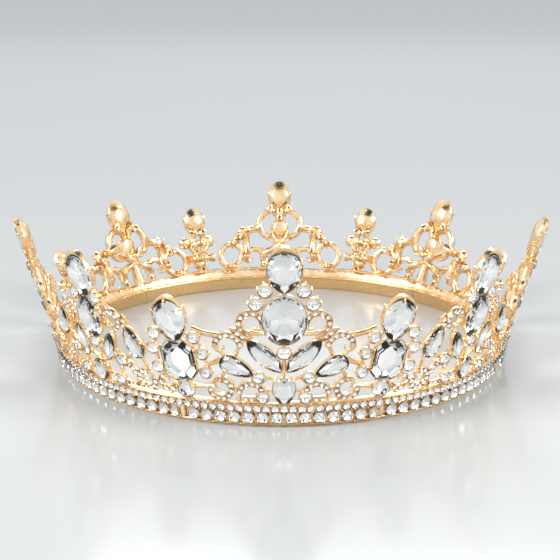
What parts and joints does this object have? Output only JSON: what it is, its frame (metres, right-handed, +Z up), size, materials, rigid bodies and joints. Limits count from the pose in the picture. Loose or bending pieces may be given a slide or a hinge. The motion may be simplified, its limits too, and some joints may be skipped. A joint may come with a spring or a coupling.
{
  "type": "rhinestone crown",
  "caption": "Full-round cast crown: flared openwork motifs, tallest at the front, set with cut crystal stones over a two-row stone rail and a smooth inner strip.",
  "frame": {"origin": "centre of the head opening on the plane the crown rests on", "axes": "+Z up through the head opening, front motif towards -Y, +X to the left of the wearer"},
  "size_m": [0.1666, 0.1689, 0.0525],
  "materials": {
    "cast_gold": "polished gold-plated casting",
    "satin_gold": "satin gold-plated strip",
    "solder": "plated solder",
    "crystal": "faceted foil-backed crystal"
  },
  "bodies": {
    "root": {"inner_strip_front": "satin_gold", "inner_strip_right": "satin_gold", "inner_strip_back": "satin_gold", "inner_strip_left": "satin_gold", "solder_joints": "solder", "stone_rail_front": "cast_gold", "stone_rail_front_right": "cast_gold", "stone_rail_right": "cast_gold", "stone_rail_back_right": "cast_gold", "stone_rail_back": "cast_gold", "stone_rail_back_left": "cast_gold", "stone_rail_left": "cast_gold", "stone_rail_front_left": "cast_gold", "tall_motif_front": "cast_gold", "tall_motif_front_right": "cast_gold", "tall_motif_right": "cast_gold", "tall_motif_back_right": "cast_gold", "tall_motif_back": "cast_gold", "tall_motif_back_left": "cast_gold", "tall_motif_left": "cast_gold", "tall_motif_front_left": "cast_gold", "short_motif_front_right": "cast_gold", "short_motif_right_back": "cast_gold", "short_motif_back_right": "cast_gold", "short_motif_back_left": "cast_gold", "short_motif_left_back": "cast_gold", "short_motif_front_left": "cast_gold", "lower_row_stones": "crystal", "upper_row_stones": "crystal", "peak_pear_stones": "crystal", "oval_stones": "crystal", "octagon_stones": "crystal", "marquise_stones": "crystal", "side_pear_stones": "crystal", "drop_pear_stones": "crystal", "short_pear_stones": "crystal", "large_round_stones": "crystal", "medium_round_stones": "crystal", "pave_stones": "crystal"}
  },
  "joints": []
}
